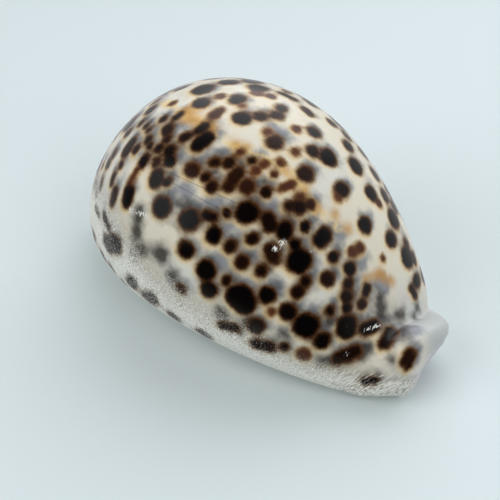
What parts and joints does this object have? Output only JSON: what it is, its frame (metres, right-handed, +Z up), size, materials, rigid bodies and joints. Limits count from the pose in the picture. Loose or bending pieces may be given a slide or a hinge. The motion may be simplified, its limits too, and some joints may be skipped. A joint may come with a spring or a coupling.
{
  "type": "cowrie shell",
  "caption": "Hollow egg-shaped cowrie shell with a glossy dark-spotted back, a flat pale base and a long toothed slit between its lips; rests on its base.",
  "frame": {"origin": "under the middle of the shell, at the centre of its bounding box, on the surface that it rests on", "axes": "+X along the shell's length to the narrow front end, +Y to the inner-lip side, +Z up from the base to the crown"},
  "size_m": [0.088, 0.0559, 0.0456],
  "materials": {
    "enamel": "gloss"
  },
  "bodies": {
    "root": {"shell": "enamel"}
  },
  "joints": []
}
